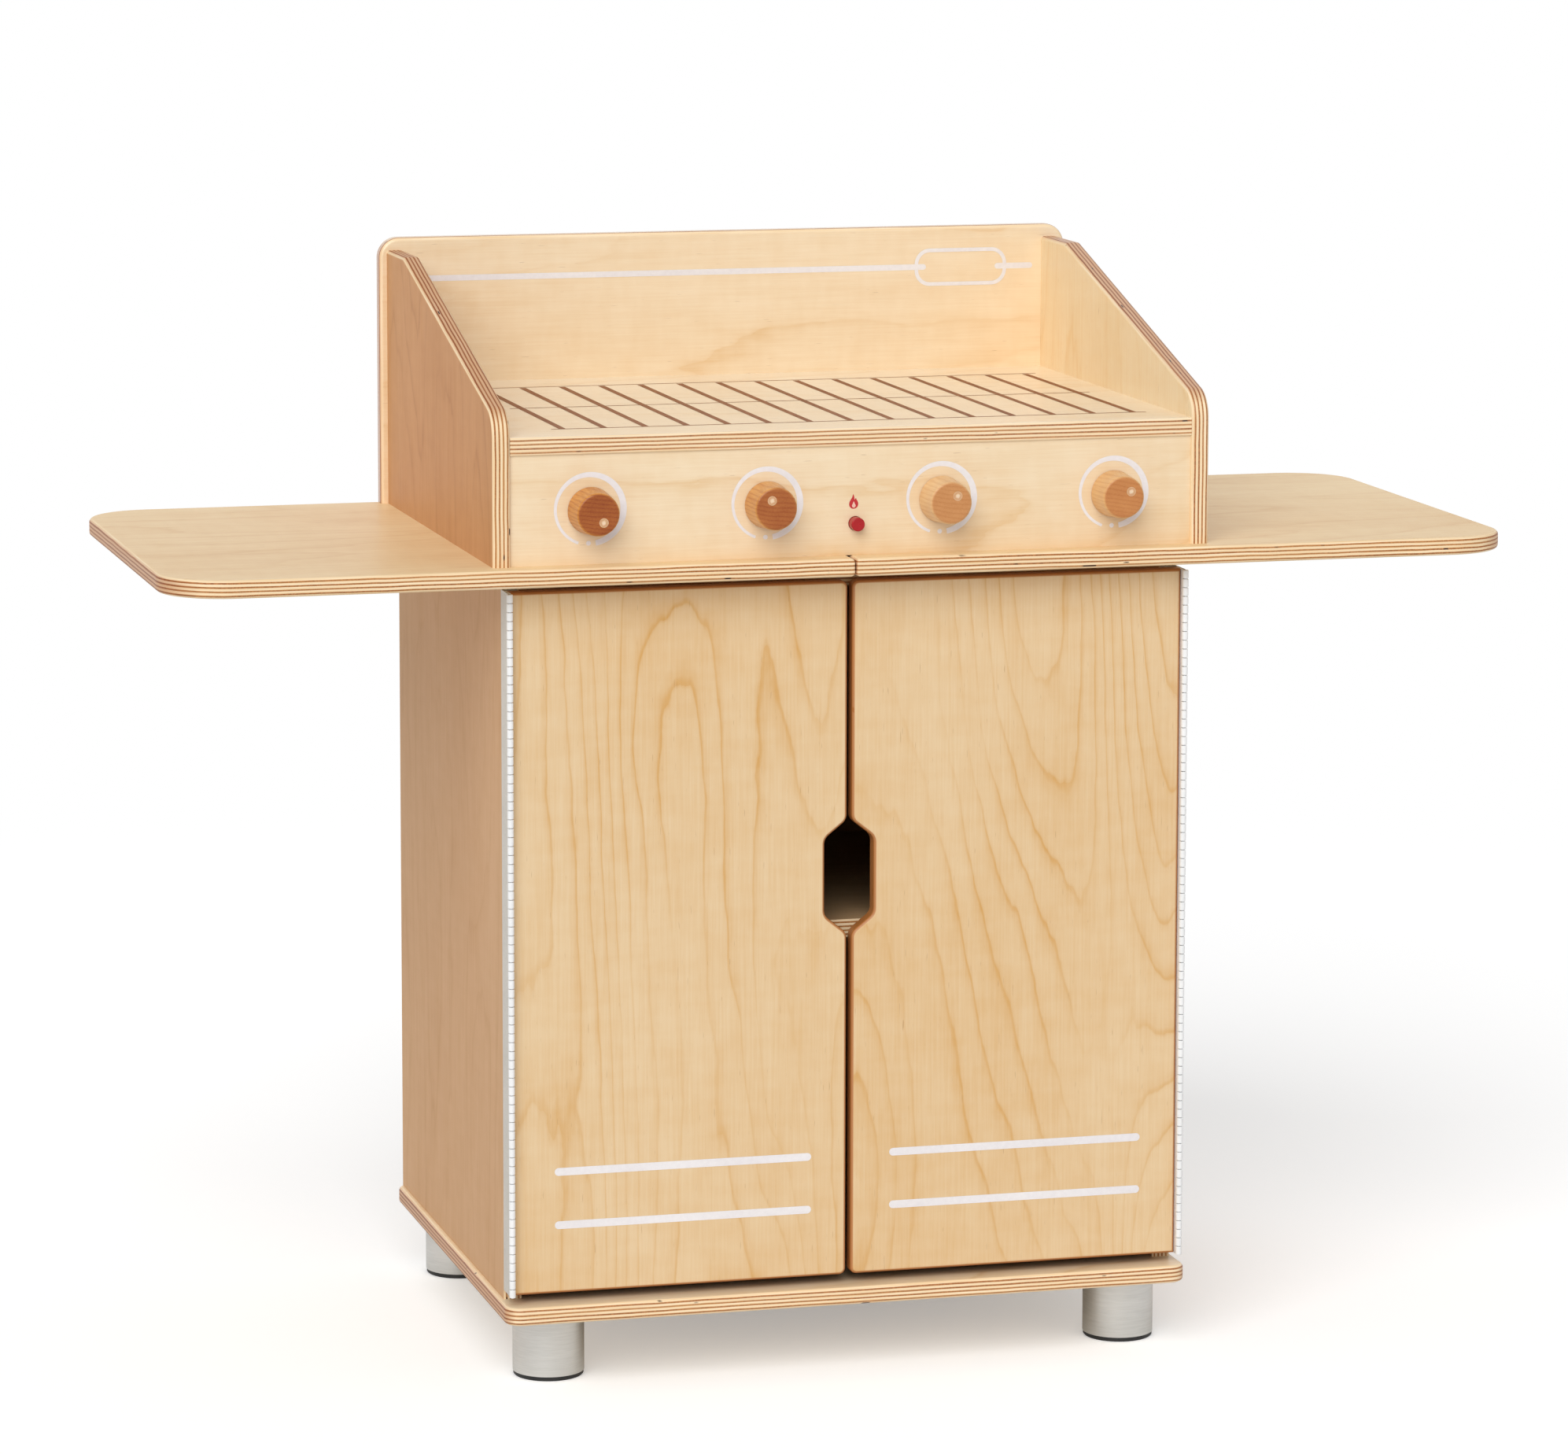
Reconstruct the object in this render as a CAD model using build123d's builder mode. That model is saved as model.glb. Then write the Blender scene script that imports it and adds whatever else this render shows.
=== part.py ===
from build123d import *
import math
import os

os.makedirs("parts", exist_ok=True)

# All sizes are in millimetres. X is to the right, Y to the back and Z up.
# The origin is on the floor, in the middle of the whole outline.

# Sheet material
ply = 12.7
edge_round = 3.0
door_round = 2.5
slack = 0.3
fit = 0.05

# Feet
foot_height = 50.8
foot_radius = 25.4
foot_wall = 1.6
pad_height = 3.2
pad_inset = 0.5
foot_side_inset = 37.5
foot_offset = 5.5
foot_front_inset = 61.4
foot_back_inset = 26.5
foot_bolt_radius = 4.0
foot_bolt_grip = 9.0
foot_bolt_length = 34.0

# Base and cabinet
case_width = 490.0
case_depth = 349.1
case_height = 508.9
case_back_inset = 5.9
base_side_lip = 4.0
base_front_lip = 30.0
base_corner = 12.0
shelf_height = 245.2
shelf_setback = 3.0

# Doors and their handle opening
door_gap_end = 6.85
door_gap_middle = 3.5
door_gap_back = 6.2
door_corner = 4.5
grip_half_width = 17.9
grip_centre = 285.9
grip_straight = 54.6
grip_height = 83.0
grip_corner = 8.0
grip_blend = 8.0

# Long hinges
hinge_knuckles = 13
knuckle_radius = 2.2
pin_radius = 1.0
leaf = 0.9
leaf_gap = 0.4
knuckle_front = 5.3
knuckle_side = 0.85
frame_flange = 11.4
hinge_screw_count = 5
hinge_screw_radius = 1.2
hinge_screw_head = 2.1
hinge_screw_length = 14.0

# Door catches
catch_width = 44.0
catch_depth = 17.0
catch_height = 13.0
catch_spacing = 64.0
strike_width = 22.0
strike_height = 11.0
strike_thickness = 1.2
magnet_width = 28.0
magnet_height = 7.0
magnet_depth = 9.0

# Counter
counter_width = 970.0
counter_front_lip = 15.3
counter_corner = 48.0
counter_back_inset = 12.4
seam_offset = -4.0
seam_gap = 0.8
seam_round = 2.0

# Cooking box above the counter
hood_side_lip = 12.8
hood_depth = 357.1
hood_height = 187.2
hood_flat = 58.6
hood_front_height = 104.7
hood_front_round = 22.0
hood_top_round = 9.0
splash_side_lip = 5.6
splash_height = 196.4
splash_corner = 15.0
deck_height = 89.1
deck_setback = 1.8
panel_setback = 3.6
deck_round = 1.2
batten_width = 18.0
batten_height = 18.0
batten_end = 30.0

# Knobs
knob_spacing = 125.5
knob_height = 37.2
knob_length = 24.2
knob_gap = 0.4
knob_base_radius = 16.5
knob_face_radius = 14.8
knob_rim = 2.0
knob_back_round = 0.8
pointer_radius = 3.25
pointer_depth = 2.0
pointer_reach = 6.6
pointer_angles = (-57.7, 118.0, 48.0, 38.0)
bolt_radius = 2.5
bolt_bite = 13.0
bolt_head_radius = 4.5
bolt_head = 3.2
bolt_washer_radius = 7.0
bolt_washer = 1.2
bush_radius = 4.5
bush_flange_radius = 9.0
bush_flange = 1.6

# Push button
button_x = 0.4
button_height = 22.2
button_radius = 4.8
button_proud = 8.0
button_round = 0.8
button_travel = 3.0
button_collar_radius = 6.6
button_collar = 2.5
button_stem_radius = 2.0
cup_radius = 10.0
cup_wall = 2.2
cup_length = 17.5
cup_flange_radius = 15.0
cup_flange = 2.0
spring_radius = 4.2
spring_wire = 0.45
spring_turns = 6.0
clip_radius = 4.2
clip_thickness = 1.0

# Construction screws
case_screw_radius = 2.2
case_screw_head = 4.6
case_screw_length = 42.0
case_screw_inset = 40.0
top_screw_length = 21.0
top_screw_side_inset = 42.3
top_screw_seam_inset = 60.0
top_screw_front_inset = 60.0
top_screw_back_inset = 80.0

# Panels that follow others
base_width = case_width + 2 * base_side_lip
base_depth = base_front_lip + case_depth + case_back_inset
counter_depth = counter_front_lip + hood_depth + ply
hood_width = case_width + 2 * hood_side_lip
splash_width = hood_width + 2 * splash_side_lip

# Positions along Y, from the back of the base to the faces of the knobs
overall_depth = (
    case_back_inset + counter_back_inset + ply + hood_depth
    - panel_setback + knob_gap + knob_length
)
base_back = overall_depth / 2
base_front = base_back - base_depth
case_back = base_back - case_back_inset
case_front = case_back - case_depth
door_back = case_front - door_gap_back
door_front = door_back - ply
pin_y = door_front - knuckle_front
counter_back = case_back - counter_back_inset
counter_front = counter_back - counter_depth
splash_front = counter_back - ply
hood_front = splash_front - hood_depth
deck_front = hood_front + deck_setback
panel_front = hood_front + panel_setback
panel_back = panel_front + ply
knob_back = panel_front - knob_gap
knob_face = knob_back - knob_length

# Positions along Z
base_top = foot_height + ply
case_top = base_top + case_height
counter_top = case_top + ply
door_bottom = base_top + door_gap_end
door_top = case_top - door_gap_end
door_height = door_top - door_bottom
shelf_bottom = base_top + shelf_height
deck_top = counter_top + deck_height
deck_bottom = deck_top - ply
panel_height = deck_bottom - counter_top
knob_z = counter_top + knob_height
button_z = counter_top + button_height
grip_z = base_top + grip_centre + door_gap_end

# Positions along X
case_half = case_width / 2
inner_half = case_half - ply
pin_x = case_half - knuckle_side
door_outer = case_half - 2 * leaf - leaf_gap
door_inner = door_gap_middle / 2
hood_half = hood_width / 2
hood_inner = hood_half - ply
knob_x = [(i - 1.5) * knob_spacing for i in range(4)]
foot_reach = base_width / 2 - foot_side_inset
foot_x = [foot_offset - foot_reach, foot_offset + foot_reach]
foot_y = [base_front + foot_front_inset, base_back - foot_back_inset]
foot_spots = [(x, y) for x in foot_x for y in foot_y]


def screw(head, shank, length, sink):
    """A countersunk screw with its head at the origin, driven along +Z."""
    return (
        Pos(0, 0, sink / 2) * Cone(head, shank, sink)
        + Pos(0, 0, (sink + length) / 2) * Cylinder(shank, length - sink)
    )


hinge_screw = screw(hinge_screw_head, hinge_screw_radius, hinge_screw_length, leaf)
case_screw = screw(case_screw_head, case_screw_radius, case_screw_length, 3.0)
top_screw = screw(case_screw_head, case_screw_radius, top_screw_length, 3.0)

# Places of the hinge screws: through the flange into the side, and through the leaf into the door
screw_zs = [
    door_bottom + door_height * (i + 0.5) / hinge_screw_count
    for i in range(hinge_screw_count)
]
frame_screw_x = case_half - ply / 2
door_screw_y = (door_front + door_back) / 2
frame_screw_at = [
    Location((s * frame_screw_x, case_front - leaf, z), (-90, 0, 0))
    for s in (-1, 1) for z in screw_zs
]
left_screw_at = [
    Location((-door_outer - leaf, door_screw_y, z), (0, 90, 0)) for z in screw_zs
]
right_screw_at = [
    Location((door_outer + leaf, door_screw_y, z), (0, -90, 0)) for z in screw_zs
]
case_screw_ys = [
    case_front + case_screw_inset,
    (case_front + case_back) / 2,
    case_back - case_screw_inset,
]
case_screw_at = [
    Location((s * (case_half - ply / 2), y, foot_height))
    for s in (-1, 1) for y in case_screw_ys
]
top_screw_xs = [
    top_screw_side_inset - inner_half,
    seam_offset - top_screw_seam_inset,
    seam_offset + top_screw_seam_inset,
    inner_half - top_screw_side_inset,
]
top_screw_ys = [
    case_front + top_screw_front_inset, case_back - top_screw_back_inset,
]
top_screw_at = [
    Location((x, y, case_top - ply)) for x in top_screw_xs for y in top_screw_ys
]

# Base panel: rounded corners and rounded-over edges, bored for the foot bolts
with BuildPart() as base_panel:
    with BuildSketch(Plane.XY.offset(foot_height)):
        with Locations((0, (base_front + base_back) / 2)):
            RectangleRounded(base_width, base_depth, base_corner)
    extrude(amount=ply)
    fillet(base_panel.faces().sort_by(Axis.Z)[0].edges(), edge_round)
    fillet(base_panel.faces().sort_by(Axis.Z)[-1].edges(), edge_round)
    with BuildSketch(Plane.XY.offset(foot_height)):
        with Locations(*foot_spots):
            Circle(foot_bolt_radius)
    extrude(amount=foot_bolt_grip, mode=Mode.SUBTRACT)
    with Locations(*case_screw_at):
        add(case_screw, mode=Mode.SUBTRACT)

# Feet: a metal sleeve on a moulded core whose rim shows below it
with BuildPart() as foot_sleeves:
    with BuildSketch(Plane.XY.offset(pad_height)):
        with Locations(*foot_spots):
            Circle(foot_radius)
            Circle(foot_radius - foot_wall, mode=Mode.SUBTRACT)
    extrude(amount=foot_height - pad_height)

with BuildPart() as foot_cores:
    with BuildSketch(Plane.XY):
        with Locations(*foot_spots):
            Circle(foot_radius - pad_inset)
    extrude(amount=pad_height)
    chamfer(foot_cores.faces().sort_by(Axis.Z)[0:4].edges(), 0.8)
    with BuildSketch(Plane.XY.offset(pad_height)):
        with Locations(*foot_spots):
            Circle(foot_radius - foot_wall)
    extrude(amount=foot_height - pad_height)
    with BuildSketch(Plane.XY.offset(foot_height)):
        with Locations(*foot_spots):
            Circle(foot_bolt_radius)
    extrude(amount=foot_bolt_grip - foot_bolt_length, mode=Mode.SUBTRACT)

with BuildPart() as foot_bolts:
    with BuildSketch(Plane.XY.offset(foot_height + foot_bolt_grip - foot_bolt_length)):
        with Locations(*foot_spots):
            Circle(foot_bolt_radius)
    extrude(amount=foot_bolt_length)

# Cabinet sides, back, top and shelf
with BuildPart() as side_left:
    with BuildSketch(Plane.XY.offset(base_top)):
        with Locations((-case_half + ply / 2, (case_front + case_back) / 2)):
            Rectangle(ply, case_depth)
    extrude(amount=case_height)
    with Locations(*frame_screw_at):
        add(hinge_screw, mode=Mode.SUBTRACT)
    with Locations(*case_screw_at):
        add(case_screw, mode=Mode.SUBTRACT)

with BuildPart() as side_right:
    mirror(side_left.part, about=Plane.YZ)

with BuildPart() as back_panel:
    with BuildSketch(Plane.XY.offset(base_top)):
        with Locations((0, case_back - ply / 2)):
            Rectangle(2 * inner_half, ply)
    extrude(amount=case_height)

with BuildPart() as top_panel:
    with BuildSketch(Plane.XY.offset(case_top)):
        with Locations((0, (case_front + case_back - ply) / 2)):
            Rectangle(2 * inner_half, case_depth - ply)
    extrude(amount=-ply)
    with Locations(*top_screw_at):
        add(top_screw, mode=Mode.SUBTRACT)

with BuildPart() as mid_shelf:
    with BuildSketch(Plane.XY.offset(shelf_bottom)):
        with Locations((0, (case_front + shelf_setback + case_back - ply) / 2)):
            Rectangle(2 * inner_half, case_depth - ply - shelf_setback)
    extrude(amount=ply)

# Screws up through the base into the sides, and up through the top panel into the counter
with BuildPart() as case_screws:
    with Locations(*case_screw_at):
        add(case_screw)

with BuildPart() as counter_screws:
    with Locations(*top_screw_at):
        add(top_screw)

# Counter halves that meet beside the middle
with BuildPart() as counter_left:
    with BuildSketch(Plane.XY.offset(case_top)):
        with Locations((0, (counter_front + counter_back) / 2)):
            RectangleRounded(counter_width, counter_depth, counter_corner)
        with Locations((seam_offset - seam_gap / 2, 0)):
            Rectangle(
                counter_width, 2 * counter_depth,
                align=(Align.MIN, Align.CENTER), mode=Mode.SUBTRACT,
            )
        fillet(vertices().group_by(Axis.X)[-1], seam_round)
    extrude(amount=ply)
    fillet(counter_left.faces().sort_by(Axis.Z)[0].edges(), edge_round)
    fillet(counter_left.faces().sort_by(Axis.Z)[-1].edges(), edge_round)
    with Locations(*top_screw_at):
        add(top_screw, mode=Mode.SUBTRACT)

with BuildPart() as counter_right:
    with BuildSketch(Plane.XY.offset(case_top)):
        with Locations((0, (counter_front + counter_back) / 2)):
            RectangleRounded(counter_width, counter_depth, counter_corner)
        with Locations((seam_offset + seam_gap / 2, 0)):
            Rectangle(
                counter_width, 2 * counter_depth,
                align=(Align.MAX, Align.CENTER), mode=Mode.SUBTRACT,
            )
        fillet(vertices().group_by(Axis.X)[0], seam_round)
    extrude(amount=ply)
    fillet(counter_right.faces().sort_by(Axis.Z)[0].edges(), edge_round)
    fillet(counter_right.faces().sort_by(Axis.Z)[-1].edges(), edge_round)
    with Locations(*top_screw_at):
        add(top_screw, mode=Mode.SUBTRACT)

# Sides of the cooking box: flat at the back, then a long slope to a rounded front corner
with BuildPart() as hood_left:
    with BuildSketch(Plane.YZ.offset(-hood_half)):
        with BuildLine():
            Polyline(
                (splash_front, counter_top),
                (splash_front, counter_top + hood_height),
                (splash_front - hood_flat, counter_top + hood_height),
                (hood_front, counter_top + hood_front_height),
                (hood_front, counter_top),
                close=True,
            )
        make_face()
        fillet(vertices().group_by(Axis.X)[0].sort_by(Axis.Y)[-1], hood_front_round)
        fillet(vertices().group_by(Axis.Y)[-1].sort_by(Axis.X)[0], hood_top_round)
    extrude(amount=ply)
    fillet(
        hood_left.faces().sort_by(Axis.X)[0].edges().filter_by(
            lambda e: e.center().Z > counter_top + 1 and e.center().Y < splash_front - 1
        )
        + hood_left.faces().sort_by(Axis.X)[-1].edges().filter_by(
            lambda e: e.center().Z > counter_top + 1 and e.center().Y < splash_front - 1
        ),
        edge_round,
    )

with BuildPart() as hood_right:
    mirror(hood_left.part, about=Plane.YZ)

with BuildPart() as splash_panel:
    with BuildSketch(Plane.XZ.offset(-splash_front)):
        with Locations((0, counter_top + splash_height / 2)):
            Rectangle(splash_width, splash_height)
        fillet(vertices().group_by(Axis.Y)[-1], splash_corner)
    extrude(amount=-ply)
    fillet(
        splash_panel.faces().sort_by(Axis.Y)[0].edges().filter_by(
            lambda e: e.center().Z > counter_top + 1
        )
        + splash_panel.faces().sort_by(Axis.Y)[-1].edges().filter_by(
            lambda e: e.center().Z > counter_top + 1
        ),
        edge_round,
    )

with BuildPart() as grill_deck:
    with BuildSketch(Plane.XY.offset(deck_bottom)):
        with Locations((0, (deck_front + splash_front) / 2)):
            Rectangle(2 * hood_inner, splash_front - deck_front)
    extrude(amount=ply)
    fillet(grill_deck.faces().sort_by(Axis.Y)[0].edges().filter_by(Axis.X), deck_round)

with BuildPart() as deck_battens:
    with BuildSketch(Plane.XY.offset(deck_bottom)):
        for s in (-1, 1):
            with Locations(
                (s * (hood_inner - batten_width / 2), (panel_back + splash_front) / 2)
            ):
                Rectangle(batten_width, splash_front - panel_back - 2 * batten_end)
    extrude(amount=-batten_height)

# Control panel with a bushed hole for each knob and a plain hole for the button
with BuildPart() as control_panel:
    with BuildSketch(Plane.XZ.offset(-panel_front)):
        with Locations((0, counter_top + panel_height / 2)):
            Rectangle(2 * hood_inner, panel_height)
        with Locations(*[(x, knob_z) for x in knob_x]):
            Circle(bush_radius, mode=Mode.SUBTRACT)
        with Locations((button_x, button_z)):
            Circle(button_radius + slack, mode=Mode.SUBTRACT)
    extrude(amount=-ply)

with BuildPart() as knob_bushes:
    with BuildSketch(Plane.XZ.offset(-panel_front)):
        with Locations(*[(x, knob_z) for x in knob_x]):
            Circle(bush_radius)
    extrude(amount=-ply)
    with BuildSketch(Plane.XZ.offset(-panel_back)):
        with Locations(*[(x, knob_z) for x in knob_x]):
            Circle(bush_flange_radius)
    extrude(amount=-bush_flange)
    with BuildSketch(Plane.XZ.offset(-panel_front)):
        with Locations(*[(x, knob_z) for x in knob_x]):
            Circle(bolt_radius + fit)
    extrude(amount=-ply - bush_flange, mode=Mode.SUBTRACT)

# Knobs: a tapered turned body, an inlaid pointer dot and the bolt it turns on
head_y = panel_back + bush_flange + slack
taper = math.degrees(math.atan((knob_base_radius - knob_face_radius) / knob_length))
knob_parts = {}
for number, (x, angle) in enumerate(zip(knob_x, pointer_angles), start=1):
    dot_x = x + pointer_reach * math.cos(math.radians(angle))
    dot_z = knob_z + pointer_reach * math.sin(math.radians(angle))

    with BuildPart() as knob:
        with BuildSketch(Plane.XZ.offset(-knob_back)):
            with Locations((x, knob_z)):
                Circle(knob_base_radius)
        extrude(amount=knob_length, taper=taper)
        fillet(knob.faces().sort_by(Axis.Y)[0].edges(), knob_rim)
        fillet(knob.faces().sort_by(Axis.Y)[-1].edges(), knob_back_round)
        with BuildSketch(Plane.XZ.offset(-knob_back)):
            with Locations((x, knob_z)):
                Circle(bolt_radius)
        extrude(amount=bolt_bite, mode=Mode.SUBTRACT)
        with BuildSketch(Plane.XZ.offset(-knob_face)):
            with Locations((dot_x, dot_z)):
                Circle(pointer_radius)
        extrude(amount=-pointer_depth, mode=Mode.SUBTRACT)

    with BuildPart() as pointer:
        with BuildSketch(Plane.XZ.offset(-knob_face)):
            with Locations((dot_x, dot_z)):
                Circle(pointer_radius)
        extrude(amount=-pointer_depth)

    with BuildPart() as bolt:
        with BuildSketch(Plane.XZ.offset(bolt_bite - knob_back)):
            with Locations((x, knob_z)):
                Circle(bolt_radius)
        extrude(amount=knob_back - bolt_bite - head_y)
        with BuildSketch(Plane.XZ.offset(-head_y)):
            with Locations((x, knob_z)):
                Circle(bolt_washer_radius)
        extrude(amount=-bolt_washer)
        with BuildSketch(Plane.XZ.offset(-head_y - bolt_washer)):
            with Locations((x, knob_z)):
                Circle(bolt_head_radius)
        extrude(amount=-bolt_head)
        with BuildSketch(Plane.XZ.offset(-head_y - bolt_washer - bolt_head)):
            with Locations((x, knob_z)):
                RegularPolygon(bolt_radius, 6)
        extrude(amount=bolt_head * 0.6, mode=Mode.SUBTRACT)

    knob_parts[f"knob_{number}"] = knob
    knob_parts[f"knob_pointer_{number}"] = pointer
    knob_parts[f"knob_bolt_{number}"] = bolt

# Push button: a stepped plunger in a cup behind the panel, held out by a spring
collar_y = panel_back + slack
stem_y = collar_y + button_collar
cup_end = panel_back + cup_length
clip_y = cup_end + slack
with BuildPart() as button_plunger:
    with BuildSketch(Plane.XZ.offset(-collar_y)):
        with Locations((button_x, button_z)):
            Circle(button_radius)
    extrude(amount=collar_y - panel_front + button_proud)
    fillet(button_plunger.faces().sort_by(Axis.Y)[0].edges(), button_round)
    with BuildSketch(Plane.XZ.offset(-collar_y)):
        with Locations((button_x, button_z)):
            Circle(button_collar_radius)
    extrude(amount=-button_collar)
    with BuildSketch(Plane.XZ.offset(-stem_y)):
        with Locations((button_x, button_z)):
            Circle(button_stem_radius)
    extrude(amount=stem_y - clip_y - 2 * clip_thickness)

with BuildPart() as button_cup:
    with BuildSketch(Plane.XZ.offset(-panel_back)):
        with Locations((button_x, button_z)):
            Circle(cup_flange_radius)
    extrude(amount=-cup_flange)
    with BuildSketch(Plane.XZ.offset(-panel_back)):
        with Locations((button_x, button_z)):
            Circle(cup_radius)
    extrude(amount=-cup_length)
    with BuildSketch(Plane.XZ.offset(-panel_back)):
        with Locations((button_x, button_z)):
            Circle(cup_radius - cup_wall)
    extrude(amount=cup_wall - cup_length, mode=Mode.SUBTRACT)
    with BuildSketch(Plane.XZ.offset(-panel_back)):
        with Locations((button_x, button_z)):
            Circle(button_stem_radius + fit)
    extrude(amount=-cup_length, mode=Mode.SUBTRACT)

with BuildPart() as button_clip:
    with BuildSketch(Plane.XZ.offset(-clip_y)):
        with Locations((button_x, button_z)):
            Circle(clip_radius)
            Circle(button_stem_radius, mode=Mode.SUBTRACT)
    extrude(amount=-clip_thickness)

spring_start = stem_y + spring_wire
spring_height = cup_end - cup_wall - stem_y - 2 * spring_wire
with BuildPart() as button_spring:
    with BuildLine():
        coil = Helix(
            pitch=spring_height / spring_turns, height=spring_height,
            radius=spring_radius, center=(button_x, spring_start, button_z),
            direction=(0, 1, 0),
        )
    with BuildSketch(Plane(origin=coil @ 0, z_dir=coil % 0)):
        Circle(spring_wire)
    sweep()

# Doors: eased edges all round, and half of the finger opening in each meeting edge
grip_points = [
    (-grip_half_width, grip_z - grip_straight / 2),
    (-grip_half_width, grip_z + grip_straight / 2),
    (0, grip_z + grip_height / 2),
    (grip_half_width, grip_z + grip_straight / 2),
    (grip_half_width, grip_z - grip_straight / 2),
    (0, grip_z - grip_height / 2),
]
with BuildPart() as door_left:
    with BuildSketch(Plane.XZ.offset(-door_front)):
        with Locations((-(door_outer + door_inner) / 2, (door_bottom + door_top) / 2)):
            Rectangle(door_outer - door_inner, door_height)
        Polygon(*grip_points, align=None, mode=Mode.SUBTRACT)
        meeting = vertices().filter_by(lambda v: v.X > -door_inner - 0.1)
        fillet([meeting.sort_by(Axis.Y)[0], meeting.sort_by(Axis.Y)[-1]], door_corner)
        fillet(
            vertices().filter_by(
                lambda v: v.X > -door_inner - 0.1 and abs(v.Y - grip_z) < grip_height / 2
            ),
            grip_blend,
        )
        fillet(
            vertices().filter_by(lambda v: abs(v.X + grip_half_width) < 0.1), grip_corner
        )
    extrude(amount=-ply)
    fillet(door_left.faces().sort_by(Axis.Y)[0].edges(), door_round)
    fillet(door_left.faces().sort_by(Axis.Y)[-1].edges(), door_round)
    with Locations(*left_screw_at):
        add(hinge_screw, mode=Mode.SUBTRACT)

with BuildPart() as door_right:
    mirror(door_left.part, about=Plane.YZ)

# Long hinges: a frame leaf that wraps the door edge and a door leaf on it, with one pin each
zone = door_height / hinge_knuckles
frame_zones = [door_bottom + zone * i for i in range(0, hinge_knuckles, 2)]
door_zones = [door_bottom + zone * i for i in range(1, hinge_knuckles, 2)]
root = pin_radius + 0.3
notch = knuckle_radius + slack
gap = slack + fit
with BuildPart() as frame_leaf_left:
    with BuildSketch(Plane.XY.offset(door_bottom)):
        with Locations((-case_half, pin_y + root)):
            Rectangle(leaf, case_front - pin_y - root, align=(Align.MIN, Align.MIN))
        with Locations((-case_half, case_front - leaf)):
            Rectangle(frame_flange, leaf, align=(Align.MIN, Align.MIN))
    extrude(amount=door_height)
    with Locations(*[(-case_half, pin_y, z - gap / 2) for z in door_zones]):
        Box(
            3 * leaf, notch, zone + gap,
            align=(Align.CENTER, Align.MIN, Align.MIN), mode=Mode.SUBTRACT,
        )
    with BuildSketch(*[Plane.XY.offset(z + gap / 2) for z in frame_zones]):
        with Locations((-pin_x, pin_y)):
            Circle(knuckle_radius)
            Circle(pin_radius, mode=Mode.SUBTRACT)
    extrude(amount=zone - gap)
    with Locations(*frame_screw_at):
        add(hinge_screw, mode=Mode.SUBTRACT)

with BuildPart() as frame_leaf_right:
    mirror(frame_leaf_left.part, about=Plane.YZ)

with BuildPart() as door_leaf_left:
    with BuildSketch(Plane.XY.offset(door_bottom)):
        with Locations((-door_outer - leaf, pin_y + root)):
            Rectangle(
                leaf, door_back - pin_y - root - leaf_gap, align=(Align.MIN, Align.MIN)
            )
    extrude(amount=door_height)
    with Locations(*[(-door_outer, pin_y, z - gap / 2) for z in frame_zones]):
        Box(
            3 * leaf, notch, zone + gap,
            align=(Align.CENTER, Align.MIN, Align.MIN), mode=Mode.SUBTRACT,
        )
    with BuildSketch(*[Plane.XY.offset(z + gap / 2) for z in door_zones]):
        with Locations((-pin_x, pin_y)):
            Circle(knuckle_radius)
            Circle(pin_radius + fit, mode=Mode.SUBTRACT)
    extrude(amount=zone - gap)
    with Locations(*left_screw_at):
        add(hinge_screw, mode=Mode.SUBTRACT)

with BuildPart() as door_leaf_right:
    mirror(door_leaf_left.part, about=Plane.YZ)

with BuildPart() as hinge_pins:
    with BuildSketch(Plane.XY.offset(door_bottom + gap / 2)):
        with Locations((-pin_x, pin_y), (pin_x, pin_y)):
            Circle(pin_radius)
    extrude(amount=door_height - gap)

with BuildPart() as hinge_frame_screws:
    with Locations(*frame_screw_at):
        add(hinge_screw)

with BuildPart() as hinge_screws_left:
    with Locations(*left_screw_at):
        add(hinge_screw)

with BuildPart() as hinge_screws_right:
    with Locations(*right_screw_at):
        add(hinge_screw)

# Magnetic catches under the top panel, and a strike plate on the back of each door
strike_y = door_back + strike_thickness
catch_y = strike_y + slack
catch_z = case_top - ply - catch_height / 2
catch_x = (-catch_spacing / 2, catch_spacing / 2)
with BuildPart() as catch_bodies:
    with Locations(*[(x, catch_y + leaf_gap, catch_z) for x in catch_x]):
        Box(
            catch_width, catch_depth, catch_height,
            align=(Align.CENTER, Align.MIN, Align.CENTER),
        )
    with Locations(*[(x, catch_y, catch_z) for x in catch_x]):
        Box(
            magnet_width, magnet_depth, magnet_height,
            align=(Align.CENTER, Align.MIN, Align.CENTER), mode=Mode.SUBTRACT,
        )

with BuildPart() as catch_magnets:
    with Locations(*[(x, catch_y, catch_z) for x in catch_x]):
        Box(
            magnet_width, magnet_depth, magnet_height,
            align=(Align.CENTER, Align.MIN, Align.CENTER),
        )

with BuildPart() as strike_left:
    with Locations((catch_x[0], door_back, catch_z)):
        Box(
            strike_width, strike_thickness, strike_height,
            align=(Align.CENTER, Align.MIN, Align.CENTER),
        )

with BuildPart() as strike_right:
    with Locations((catch_x[1], door_back, catch_z)):
        Box(
            strike_width, strike_thickness, strike_height,
            align=(Align.CENTER, Align.MIN, Align.CENTER),
        )

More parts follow.
